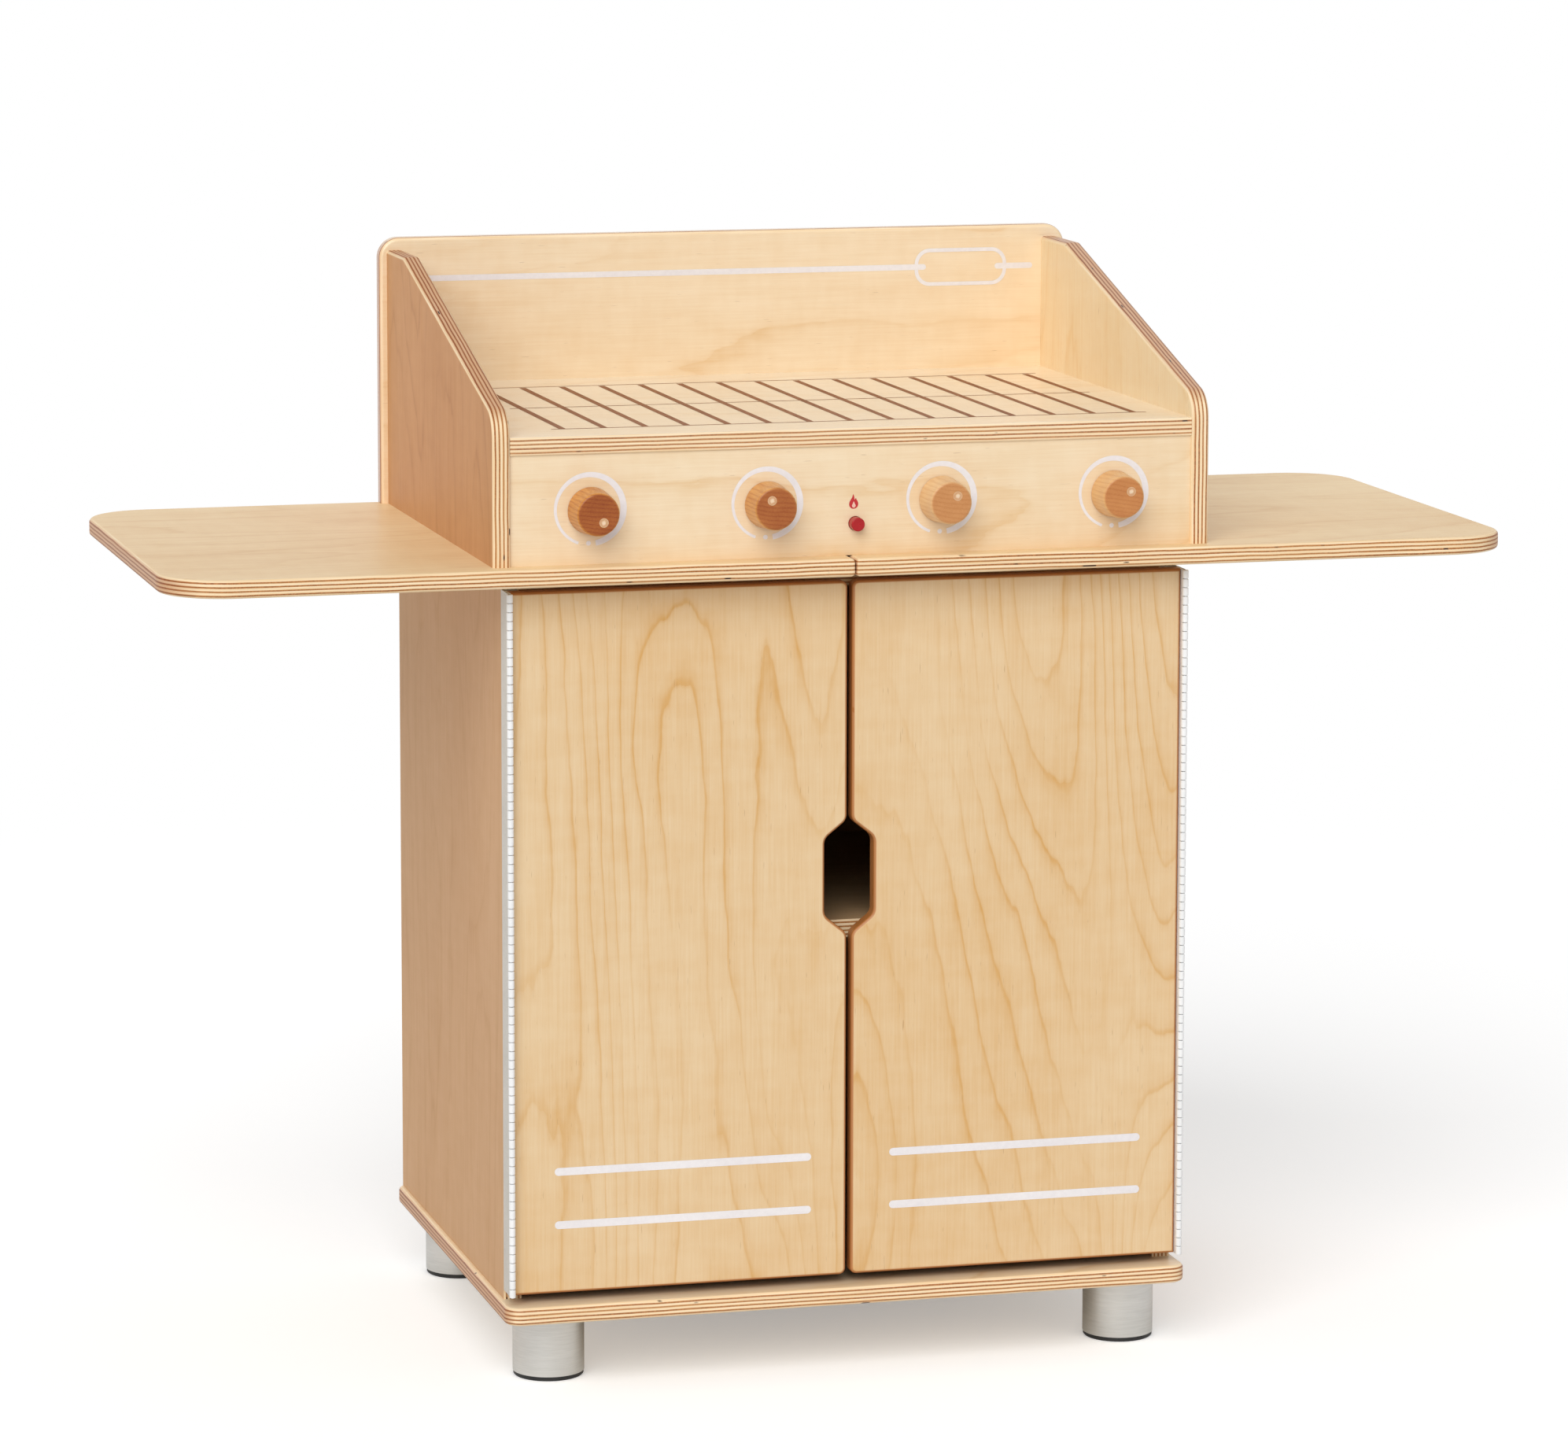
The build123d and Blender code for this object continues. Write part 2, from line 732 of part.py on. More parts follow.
parts = {
    "base_panel": base_panel,
    "foot_sleeves": foot_sleeves,
    "foot_cores": foot_cores,
    "foot_bolts": foot_bolts,
    "side_left": side_left,
    "side_right": side_right,
    "back_panel": back_panel,
    "top_panel": top_panel,
    "mid_shelf": mid_shelf,
    "case_screws": case_screws,
    "counter_left": counter_left,
    "counter_right": counter_right,
    "counter_screws": counter_screws,
    "hood_left": hood_left,
    "hood_right": hood_right,
    "splash_panel": splash_panel,
    "grill_deck": grill_deck,
    "deck_battens": deck_battens,
    "control_panel": control_panel,
    "knob_bushes": knob_bushes,
    "button_plunger": button_plunger,
    "button_cup": button_cup,
    "button_clip": button_clip,
    "button_spring": button_spring,
    "door_left": door_left,
    "door_right": door_right,
    "frame_leaf_left": frame_leaf_left,
    "frame_leaf_right": frame_leaf_right,
    "door_leaf_left": door_leaf_left,
    "door_leaf_right": door_leaf_right,
    "hinge_pins": hinge_pins,
    "hinge_frame_screws": hinge_frame_screws,
    "hinge_screws_left": hinge_screws_left,
    "hinge_screws_right": hinge_screws_right,
    "catch_bodies": catch_bodies,
    "catch_magnets": catch_magnets,
    "strike_left": strike_left,
    "strike_right": strike_right,
}
parts.update(knob_parts)
for label, builder in parts.items():
    builder.part.label = label
    export_step(builder.part, f"parts/{label}.step")
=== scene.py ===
import math
import bpy
from mathutils import Matrix, Vector


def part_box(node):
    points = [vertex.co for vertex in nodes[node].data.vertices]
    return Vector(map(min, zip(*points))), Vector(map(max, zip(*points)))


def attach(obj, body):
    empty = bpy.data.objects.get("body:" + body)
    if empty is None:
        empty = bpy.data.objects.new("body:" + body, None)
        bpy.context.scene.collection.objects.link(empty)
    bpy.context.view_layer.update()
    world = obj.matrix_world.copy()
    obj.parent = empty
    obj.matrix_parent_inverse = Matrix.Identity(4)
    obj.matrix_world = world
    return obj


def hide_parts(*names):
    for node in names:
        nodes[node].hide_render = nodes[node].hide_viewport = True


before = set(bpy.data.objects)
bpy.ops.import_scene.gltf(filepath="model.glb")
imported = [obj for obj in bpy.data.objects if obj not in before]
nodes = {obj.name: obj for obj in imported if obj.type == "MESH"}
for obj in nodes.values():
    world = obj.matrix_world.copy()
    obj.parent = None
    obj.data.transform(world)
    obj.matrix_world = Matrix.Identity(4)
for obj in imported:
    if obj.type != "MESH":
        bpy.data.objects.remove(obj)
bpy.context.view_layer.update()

MM = 0.001
PER_METRE = 1000.0
AXES = {"x": 0, "y": 1, "z": 2}

# Sizes of the object in millimetres
PLY = 12.7
PLY_LAYERS = 9
CASE_HALF = 245.0
CASE_FRONT = -150.45
HOOD_HALF = 257.8
COUNTER_LOW = 572.4
DOOR_FRONT = -169.35
DOOR_BACK = DOOR_FRONT + PLY
PANEL_FRONT = -179.95
SPLASH_FRONT = 173.55
DECK_TOP = 674.2
PRINT_PROUD = 0.08


def srgb(red, green, blue):
    """A colour given as it appears on a screen, 0 to 255, as linear RGBA."""
    def linear(value):
        value = value / 255
        return value / 12.92 if value <= 0.04045 else ((value + 0.055) / 1.055) ** 2.4
    return (linear(red), linear(green), linear(blue), 1.0)


# ---------------------------------------------------------------- materials


class Tree:
    """Adds and joins the nodes of one node tree."""

    def __init__(self, owner):
        owner.use_nodes = True
        self.tree = owner.node_tree
        self.tree.nodes.clear()

    def feed(self, socket, value):
        if isinstance(value, bpy.types.NodeSocket):
            self.tree.links.new(value, socket)
        else:
            socket.default_value = value

    def add(self, kind, **inputs):
        """A node of one kind. An underscore in an input's name stands for a space."""
        node = self.tree.nodes.new(kind)
        for key, value in inputs.items():
            self.feed(node.inputs[key.replace("_", " ")], value)
        return node

    def math(self, operation, a, b=0.0, c=0.0, clamp=False):
        node = self.tree.nodes.new("ShaderNodeMath")
        node.operation = operation
        node.use_clamp = clamp
        for socket, value in zip(node.inputs, (a, b, c)):
            self.feed(socket, value)
        return node.outputs[0]

    def scaled(self, socket, factor, offset=0.0):
        return self.math("MULTIPLY_ADD", socket, factor, offset)

    def vector(self, x=0.0, y=0.0, z=0.0):
        return self.add("ShaderNodeCombineXYZ", X=x, Y=y, Z=z).outputs[0]

    def split(self, vector):
        return self.add("ShaderNodeSeparateXYZ", Vector=vector).outputs

    def noise(self, vector, detail=2.0, rough=0.5, scale=1.0):
        node = self.add(
            "ShaderNodeTexNoise", Vector=vector, Scale=scale, Detail=detail, Roughness=rough
        )
        return node.outputs["Fac"]

    def remap(self, value, low, high, to_low=0.0, to_high=1.0, smooth=False):
        node = self.add(
            "ShaderNodeMapRange",
            Value=value, From_Min=low, From_Max=high, To_Min=to_low, To_Max=to_high,
        )
        node.interpolation_type = "SMOOTHSTEP" if smooth else "LINEAR"
        return node.outputs[0]

    def ramp(self, value, stops):
        node = self.tree.nodes.new("ShaderNodeValToRGB")
        elements = node.color_ramp.elements
        while len(elements) < len(stops):
            elements.new(0.5)
        for element, (place, level) in zip(elements, stops):
            element.position = place
            element.color = (level, level, level, 1.0)
        self.feed(node.inputs[0], value)
        return node.outputs[0]

    def mix(self, amount, a, b, blend="MIX"):
        node = self.tree.nodes.new("ShaderNodeMix")
        node.data_type = "RGBA"
        node.blend_type = blend
        self.feed(node.inputs[0], amount)
        self.feed(node.inputs[6], a)
        self.feed(node.inputs[7], b)
        return node.outputs[2]

    def bump(self, height, strength, distance=0.0002):
        node = self.add("ShaderNodeBump", Height=height, Strength=strength, Distance=distance)
        return node.outputs[0]


class Nodes(Tree):
    """The node tree of one material, in the object's own coordinates."""

    def __init__(self, name):
        self.mat = bpy.data.materials.new(name)
        super().__init__(self.mat)
        self.out = self.tree.nodes.new("ShaderNodeOutputMaterial")
        coord = self.tree.nodes.new("ShaderNodeTexCoord")
        self.point = coord.outputs["Object"]
        self.axis = dict(zip("xyz", self.split(self.point)))
        self.normal = self.split(coord.outputs["Normal"])

    def facing(self, axis):
        """How squarely the surface faces along an axis, from 0 to 1."""
        return self.math("ABSOLUTE", self.normal[AXES[axis]])

    def shade(self, colour, roughness, normal, **settings):
        node = self.add(
            "ShaderNodeBsdfPrincipled",
            Base_Color=colour, Roughness=roughness, Normal=normal, **settings,
        )
        self.tree.links.new(node.outputs[0], self.out.inputs[0])
        return self.mat


def birch(
    name, thick, low, grain, seed, pale, gold, figure,
    rings=15.0, rough=0.42, coat=0.15, coat_rough=0.2, specular=0.35, edge_painted_shade=0.0,
):
    """Lacquered birch plywood: figured faces, and edges striped by the layers."""
    n = Nodes(name)
    across = ({"x", "y", "z"} - {thick, grain}).pop()
    a, g, t = n.axis[across], n.axis[grain], n.axis[thick]

    # Figure of the face: contour lines of a field stretched along the grain
    warp = n.noise(n.vector(n.scaled(a, 6.8), n.scaled(g, 1.25), seed), 1.3, 0.4)
    wiggle = n.noise(n.vector(n.scaled(a, 40.0), n.scaled(g, 8.0), seed + 5.0), 2.0, 0.6)
    jag = n.noise(n.vector(n.scaled(a, 150.0), n.scaled(g, 45.0), seed + 7.0), 2.0, 0.5)
    field = n.math("ADD", n.scaled(warp, rings), n.scaled(wiggle, 0.8))
    field = n.math("ADD", field, n.scaled(jag, 0.15))
    field = n.math("ADD", field, n.scaled(a, 2.0))
    ring = n.math("FRACT", field)
    line = n.ramp(ring, (
        (0.0, 0.70), (0.04, 0.22), (0.14, 0.05), (0.5, 0.0), (0.72, 0.10), (0.90, 0.42),
        (0.965, 0.95), (1.0, 1.0),
    ))
    patch = n.noise(n.vector(n.scaled(a, 12.0), n.scaled(g, 3.5), seed + 9.0), 2.0, 0.5)
    line = n.math("MULTIPLY", line, n.remap(patch, 0.36, 0.62, 0.18, 1.0))
    broad = n.noise(n.vector(n.scaled(a, 7.0), n.scaled(g, 1.6), seed + 13.0), 2.0, 0.5)
    fibre_point = n.vector(n.scaled(a, 700.0), n.scaled(g, 16.0), n.scaled(t, 700.0))
    fibre = n.noise(fibre_point, 3.0, 0.6)
    ripple = n.noise(n.vector(n.scaled(a, 30.0), n.scaled(g, 90.0), seed + 17.0), 2.0, 0.5)
    cloud = n.noise(n.vector(n.scaled(a, 60.0), n.scaled(g, 22.0), seed + 19.0), 3.0, 0.6)
    dark = n.math("MULTIPLY", line, figure)
    dark = n.math("ADD", dark, n.remap(broad, 0.34, 0.68, 0.0, 0.30))
    dark = n.math("ADD", dark, n.remap(fibre, 0.3, 0.75, -0.08, 0.16))
    dark = n.math("ADD", dark, n.remap(cloud, 0.32, 0.7, -0.05, 0.12))
    dark = n.math("ADD", dark, n.remap(ripple, 0.35, 0.65, -0.04, 0.05), clamp=True)
    face = n.mix(dark, srgb(*pale), srgb(*gold))
    fleck = n.noise(n.vector(n.scaled(a, 1150.0), n.scaled(g, 75.0), seed + 3.0), 1.0, 0.5)
    face = n.mix(n.remap(fleck, 0.74, 0.80, 0.0, 0.35), face, srgb(150, 102, 58))

    # Layers of the edge, counted from one face to the other
    run = n.math("ADD", a, g)
    waver = n.noise(n.vector(n.scaled(run, 26.0), n.scaled(t, 60.0), seed + 21.0), 2.0, 0.5)
    layer = n.scaled(t, PER_METRE * PLY_LAYERS / PLY, -low * PLY_LAYERS / PLY)
    layer = n.math("ADD", layer, n.remap(waver, 0.3, 0.7, -0.16, 0.16))
    layer = n.math("MINIMUM", n.math("MAXIMUM", layer, 0.02), PLY_LAYERS - 0.02)
    index = n.math("FLOOR", layer)
    wave = n.math("COSINE", n.scaled(layer, math.pi, -0.5 * math.pi))
    odd = n.remap(wave, -0.5, -0.02, 1.0, 0.0)
    streak = n.noise(n.vector(n.scaled(run, 14.0), n.scaled(t, 3800.0), seed + 2.0), 2.0, 0.6)
    speck = n.noise(n.vector(n.scaled(run, 900.0), n.scaled(t, 900.0), seed + 8.0), 2.0, 0.6)
    tint = n.noise(n.vector(n.scaled(run, 5.0), n.scaled(index, 3.7), seed + 4.0), 1.0, 0.5)
    cream = n.mix(n.remap(streak, 0.32, 0.7), srgb(250, 232, 200), srgb(232, 195, 142))
    brown = n.mix(n.remap(speck, 0.3, 0.7), srgb(188, 126, 74), srgb(142, 86, 44))
    brown = n.mix(n.remap(tint, 0.38, 0.66, 0.0, 0.5), brown, srgb(208, 156, 102))
    edge = n.mix(odd, cream, brown)
    glue = n.math("ABSOLUTE", n.math("SUBTRACT", n.math("FRACT", layer), 0.5))
    hole = n.noise(n.vector(n.scaled(run, 62.0), n.scaled(index, 5.3), seed + 6.0), 1.0, 0.4)
    hole = n.math(
        "MULTIPLY", n.remap(hole, 0.735, 0.765), n.remap(glue, 0.30, 0.42, 1.0, 0.0)
    )
    edge = n.mix(hole, edge, srgb(58, 28, 16))

    # The flat face keeps its figure; the rounded and cut edges show the layers
    flat = n.remap(n.facing(thick), 0.90, 0.985)
    end_grain = n.remap(n.facing(grain), 0.5, 0.95, 0.0, 0.55)
    edge = n.mix(end_grain, edge, srgb(188, 120, 62), "MULTIPLY")
    # Painted shade: the rounded and cut edges of the doors turn an even orange-brown.
    if edge_painted_shade:
        edge = n.mix(edge_painted_shade, edge, srgb(172, 104, 44))
    colour = n.mix(flat, edge, face)
    relief = n.math("ADD", n.scaled(fibre, 0.6), n.scaled(hole, -2.5))
    gloss = n.remap(fibre, 0.2, 0.8, rough - 0.05, rough + 0.07)
    return n.shade(
        colour, gloss, n.bump(relief, 0.18),
        Coat_Weight=coat, Coat_Roughness=coat_rough, Specular_IOR_Level=specular,
    )


def turned_wood(name, seed, pale, dark_tone):
    """A turned hardwood knob with rings running across its end."""
    n = Nodes(name)
    x, y, z = n.axis["x"], n.axis["y"], n.axis["z"]
    warp = n.noise(n.vector(n.scaled(x, 22.0), n.scaled(y, 8.0), n.scaled(z, 30.0, seed)))
    field = n.math("ADD", n.scaled(z, 330.0), n.scaled(warp, 3.2))
    field = n.math("ADD", field, n.scaled(x, 45.0))
    ring = n.ramp(n.math("FRACT", field), (
        (0.0, 0.75), (0.12, 0.25), (0.55, 0.1), (0.85, 0.55), (1.0, 1.0),
    ))
    pore_point = n.vector(n.scaled(x, 900.0), n.scaled(y, 60.0), n.scaled(z, 1900.0))
    pores = n.noise(pore_point, 3.0, 0.65)
    broad = n.noise(n.vector(n.scaled(x, 60.0), n.scaled(y, 20.0), n.scaled(z, 85.0, seed)))
    dark = n.math("ADD", n.math("MULTIPLY", ring, 0.42), n.remap(pores, 0.3, 0.75, -0.06, 0.34))
    dark = n.math("ADD", dark, n.remap(broad, 0.3, 0.7, 0.0, 0.34), clamp=True)
    colour = n.mix(dark, srgb(*pale), srgb(*dark_tone))
    # The end grain of the face drinks more lacquer and is darker than the side
    drink = n.remap(n.facing("y"), 0.55, 0.98)
    colour = n.mix(n.math("MULTIPLY", drink, 0.72), colour, srgb(*dark_tone), "MULTIPLY")
    return n.shade(
        colour, n.remap(pores, 0.2, 0.8, 0.26, 0.42), n.bump(pores, 0.12),
        Coat_Weight=0.15, Coat_Roughness=0.15, Specular_IOR_Level=0.25,
    )


def plain(name, colour, shade_of, rough, grain_scale, relief, stretch=(1, 1, 1), **more):
    """A material of one colour with fine mottling, uneven gloss and a slight surface."""
    n = Nodes(name)
    point = n.vector(*[n.scaled(n.axis[key], factor) for key, factor in zip("xyz", stretch)])
    fine = n.noise(point, 3.0, 0.6, grain_scale)
    broad = n.noise(point, 2.0, 0.5, grain_scale * 0.06)
    amount = n.math("ADD", n.scaled(fine, 0.5), n.scaled(broad, 0.5))
    mixed = n.mix(n.remap(amount, 0.35, 0.65), srgb(*colour), srgb(*shade_of))
    gloss = n.remap(fine, 0.25, 0.75, rough * 0.86, rough * 1.14)
    return n.shade(mixed, gloss, n.bump(fine, relief), **more)


def pointer_dot(name, x, z):
    """A cloudy moulded dot, lighter in its middle. Its centre is given in millimetres."""
    n = Nodes(name)
    dx = n.scaled(n.axis["x"], PER_METRE, -x)
    dz = n.scaled(n.axis["z"], PER_METRE, -z)
    square = n.math("ADD", n.math("MULTIPLY", dx, dx), n.math("MULTIPLY", dz, dz))
    reach = n.math("SQRT", square)
    cloud = n.noise(n.vector(n.scaled(n.axis["x"], 500.0), 0.0, n.scaled(n.axis["z"], 500.0)))
    reach = n.math("ADD", reach, n.remap(cloud, 0.3, 0.7, -0.35, 0.35))
    middle = n.remap(reach, 0.7, 2.2, 0.0, 1.0, True)
    colour = n.mix(middle, srgb(232, 204, 170), srgb(204, 152, 104))
    colour = n.mix(n.remap(reach, 2.5, 3.1, 0.0, 0.55), colour, srgb(226, 190, 150))
    return n.shade(
        colour, 0.28, n.bump(cloud, 0.05),
        Subsurface_Weight=0.2, Subsurface_Scale=0.002, Coat_Weight=0.4, Coat_Roughness=0.1,
    )


def set_material(material, *names):
    for name in names:
        slots = nodes[name].data.materials
        slots.clear()
        slots.append(material)


shell = dict(pale=(240, 219, 186), gold=(221, 182, 128), figure=0.4)
# The right hood side is lighter than the shell: painted light, standing in for light thrown back
# onto it from the deck and splash.
hood_right_painted_light = dict(pale=(249, 228, 190), gold=(234, 193, 128), figure=0.4, rings=12.0)
glossy = dict(shell, rough=0.3, coat=0.5, coat_rough=0.1)
deck = dict(glossy, pale=(250, 238, 216), gold=(238, 210, 170), rings=9.0)
counter = dict(
    pale=(240, 213, 168), gold=(220, 178, 124), figure=0.4, rough=0.45, coat=0.06, specular=0.2,
)
# The side panels are darker than the shell, partly by the wood's own tone and partly by painted
# shade.
shade = dict(
    pale=(212, 171, 130), gold=(194, 148, 104), figure=0.4, rough=0.55, coat=0.0, specular=0.12,
)
# The left hood side is darker and more orange than the other panels: painted shade.
hood_left_painted_shade = dict(
    pale=(210, 156, 106), gold=(184, 128, 78), figure=0.5, rough=0.5, coat=0.0, specular=0.15,
)
# The back panel and the middle shelf are darker than the shell: painted shade inside the cabinet.
inside_painted_shade = dict(
    pale=(196, 164, 124), gold=(174, 132, 90), figure=0.4, coat=0.0, specular=0.15,
)
# The doors' rounded and cut edges are turned an even orange-brown: painted shade.
doors = dict(pale=(226, 198, 157), gold=(208, 158, 88), figure=0.6, edge_painted_shade=0.9, rings=30.0)

# Name, axis of the thickness, place of its low face, axis of the grain, seed and look
for name, thick, low, grain, seed, look in (
    ("base_panel", "z", 50.8, "x", 1.3, shell),
    ("side_left", "x", -CASE_HALF, "z", 4.1, shade),
    ("side_right", "x", CASE_HALF - PLY, "z", 7.7, shade),
    ("back_panel", "y", 185.95, "z", 9.2, inside_painted_shade),
    ("top_panel", "z", COUNTER_LOW - PLY, "x", 12.4, shell),
    ("mid_shelf", "z", 308.7, "x", 15.8, inside_painted_shade),
    ("counter_left", "z", COUNTER_LOW, "x", 18.3, counter),
    ("counter_right", "z", COUNTER_LOW, "x", 23.6, counter),
    ("hood_left", "x", -HOOD_HALF, "z", 26.9, hood_left_painted_shade),
    ("hood_right", "x", HOOD_HALF - PLY, "z", 29.5, hood_right_painted_light),
    ("splash_panel", "y", SPLASH_FRONT, "x", 33.1, glossy),
    ("grill_deck", "z", DECK_TOP - PLY, "x", 37.4, deck),
    ("deck_battens", "z", 640.0, "y", 41.2, shell),
    ("control_panel", "y", PANEL_FRONT, "x", 44.8, dict(shell, rings=12.0)),
    ("door_left", "y", DOOR_FRONT, "z", 50.2, doors),
    ("door_right", "y", DOOR_FRONT, "z", 57.3, doors),
):
    set_material(birch("birch_" + name, thick, low, grain, seed, **look), name)

foot_metal = plain(
    "foot_metal", (226, 226, 223), (212, 212, 208), 0.34, 60.0, 0.03, (1, 1, 14), Metallic=0.9,
)
foot_core = plain("foot_core", (22, 22, 22), (34, 34, 33), 0.5, 700.0, 0.2)
hinge_white = plain(
    "hinge_white", (240, 240, 240), (230, 231, 231), 0.34, 500.0, 0.05, Coat_Weight=0.2,
)
# A greyer white for the flat hinge leaves: painted shade.
hinge_leaf_painted_shade = plain(
    "hinge_leaf_painted_shade", (212, 208, 200), (202, 198, 190), 0.45, 500.0, 0.05, Specular_IOR_Level=0.2,
)
steel = plain("steel", (186, 187, 190), (160, 161, 165), 0.3, 900.0, 0.05, Metallic=1.0)
button_red = plain(
    "button_red", (176, 20, 26), (156, 14, 20), 0.3, 600.0, 0.04, Specular_IOR_Level=0.35,
)
nylon = plain("nylon", (226, 222, 212), (214, 209, 198), 0.46, 600.0, 0.08)
catch_plastic = plain("catch_plastic", (226, 224, 218), (214, 212, 205), 0.42, 600.0, 0.08)
magnet = plain("magnet", (74, 74, 77), (56, 56, 60), 0.55, 900.0, 0.25)
print_white = plain("print_white", (236, 232, 232), (226, 221, 222), 0.42, 260.0, 0.04)
print_brown = plain(
    "print_brown", (150, 92, 54), (128, 74, 40), 0.45, 300.0, 0.03, Specular_IOR_Level=0.1,
)
print_faint = plain(
    "print_faint", (150, 94, 56), (130, 78, 44), 0.45, 300.0, 0.03, Specular_IOR_Level=0.1,
)
print_red = plain("print_red", (196, 40, 42), (176, 32, 36), 0.4, 400.0, 0.04)
print_pink = plain("print_pink", (240, 196, 176), (228, 180, 160), 0.4, 400.0, 0.04)

set_material(foot_metal, "foot_sleeves")
set_material(foot_core, "foot_cores")
set_material(
    steel, "foot_bolts", "case_screws", "counter_screws", "button_clip", "button_spring",
    "hinge_pins", "hinge_frame_screws", "hinge_screws_left", "hinge_screws_right",
    "strike_left", "strike_right",
)
set_material(nylon, "knob_bushes", "button_cup")
set_material(button_red, "button_plunger")
set_material(catch_plastic, "catch_bodies")
set_material(magnet, "catch_magnets")

knob_tones = (
    ((226, 162, 78), (162, 76, 20)),
    ((228, 172, 98), (176, 100, 42)),
    ((236, 198, 146), (208, 156, 102)),
    ((234, 190, 130), (204, 146, 90)),
)
for number, (pale, dark_tone) in enumerate(knob_tones, start=1):
    wood = turned_wood(f"knob_wood_{number}", 3.0 * number, pale, dark_tone)
    set_material(wood, f"knob_{number}")
    low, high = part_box(f"knob_pointer_{number}")
    centre_x, centre_z = (PER_METRE * (low[k] + high[k]) / 2 for k in (0, 2))
    dot = pointer_dot(f"pointer_{number}", centre_x, centre_z)
    set_material(dot, f"knob_pointer_{number}")
    set_material(steel, f"knob_bolt_{number}")


# ------------------------------------------------------------------ shapes


def piece(name, verts, faces, material, body):
    """A mesh piece given in millimetres, riding on a body."""
    mesh = bpy.data.meshes.new(name)
    mesh.from_pydata([[c * MM for c in v] for v in verts], [], faces)
    mesh.validate()
    mesh.update()
    mesh.materials.append(material)
    thing = bpy.data.objects.new(name, mesh)
    bpy.context.scene.collection.objects.link(thing)
    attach(thing, body)
    return thing


class Sheet:
    """Flat shapes collected in one mesh. The place function turns (u, v) into a point."""

    def __init__(self, place):
        self.place = place
        self.verts = []
        self.faces = []

    def polygon(self, outline):
        first = len(self.verts)
        self.verts += [self.place(u, v) for u, v in outline]
        self.faces.append(list(range(first, first + len(outline))))

    def rectangle(self, u0, u1, v0, v1):
        self.polygon([(u0, v0), (u1, v0), (u1, v1), (u0, v1)])

    def ribbon(self, inner, outer, closed=False):
        first = len(self.verts)
        count = len(inner)
        self.verts += [self.place(*p) for p in inner] + [self.place(*p) for p in outer]
        for i in range(count if closed else count - 1):
            j = (i + 1) % count
            self.faces.append([first + i, first + count + i, first + count + j, first + j])

    def capsule(self, u0, u1, v, thickness, round_start=True):
        """A stroke from u0 to u1 with round ends, or with a square start."""
        half = thickness / 2
        outline = arc(u1 - half, v, half, -90, 90)
        if round_start:
            outline += arc(u0 + half, v, half, 90, 270)
        else:
            outline += [(u0, v + half), (u0, v - half)]
        self.polygon(outline)

    def make(self, name, material, body):
        return piece(name, self.verts, self.faces, material, body)


def arc(u, v, radius, start, end, steps=12):
    """Points along part of a circle, from one angle in degrees to another."""
    turns = [math.radians(start + (end - start) * i / steps) for i in range(steps + 1)]
    return [(u + radius * math.cos(turn), v + radius * math.sin(turn)) for turn in turns]


# White stripes at the foot of each door
STRIPE_HEIGHTS = (157.0, 119.0)
STRIPE_WIDTH = 5.6
for name, start, end in (("door_left", -212.6, -27.4), ("door_right", 29.8, 215.8)):
    stripes = Sheet(lambda u, v: (u, DOOR_FRONT - PRINT_PROUD, v))
    for height in STRIPE_HEIGHTS:
        stripes.capsule(start, end, height, STRIPE_WIDTH)
    stripes.make("stripes_" + name, print_white, name)

# Rings round the knobs: a thin start at the lower left that widens to the lower right.
# Each pair is an angle in degrees and the ring's width there.
RING_BAND = (
    (-110, 1.9), (-180, 2.1), (-270, 3.6), (-315, 4.2), (-360, 4.5), (-405, 4.4), (-441, 3.8),
)
RING_STEPS = 96
RING_OUTER = 25.7
RING_Z = 623.3
RING_CENTRES = (-188.5, -62.8, 62.8, 188.5)
DOT_ANGLE = math.radians(-93.3)
DOT_REACH = 23.6
DOT_RADIUS = 1.65


def band_at(angle):
    """The ring's width at an angle."""
    for (a0, w0), (a1, w1) in zip(RING_BAND, RING_BAND[1:]):
        if a1 <= angle <= a0:
            return w0 + (w1 - w0) * (angle - a0) / (a1 - a0)
    return RING_BAND[-1][1]


def on_panel(u, v):
    return (u, PANEL_FRONT - PRINT_PROUD, v)


def around(centre, radius, turn):
    """A point at some distance and angle from a knob's axis."""
    return (centre + radius * math.cos(turn), RING_Z + radius * math.sin(turn))


ring_start, ring_end = RING_BAND[-1][0], RING_BAND[0][0]
rings = Sheet(on_panel)
for centre in RING_CENTRES:
    inner = []
    outer = []
    for i in range(RING_STEPS + 1):
        angle = ring_start + (ring_end - ring_start) * i / RING_STEPS
        turn = math.radians(angle)
        outer.append(around(centre, RING_OUTER, turn))
        inner.append(around(centre, RING_OUTER - band_at(angle), turn))
    rings.ribbon(inner, outer)
    dot_u, dot_v = around(centre, DOT_REACH, DOT_ANGLE)
    rings.polygon(arc(dot_u, dot_v, DOT_RADIUS, 0, 360, 20)[:-1])
rings.make("rings_panel", print_white, "cabinet")

# A flame of two curved tongues over the button, with a light drop inside it
flame_shape = (
    (0.0, 0.0), (1.7, 0.5), (2.9, 1.9), (3.2, 3.7), (2.7, 5.4), (1.9, 6.6), (1.6, 7.6), (0.6, 6.4),
    (0.3, 8.4), (-0.4, 10.2), (-1.1, 8.2), (-2.3, 6.2), (-3.2, 4.4), (-3.3, 2.6), (-2.6, 1.1),
    (-1.3, 0.2),
)
drop_shape = (
    (0.0, 0.7), (1.0, 1.3), (1.3, 2.4), (0.7, 3.6), (0.0, 5.2), (-0.7, 3.6), (-1.3, 2.4),
    (-1.0, 1.3),
)


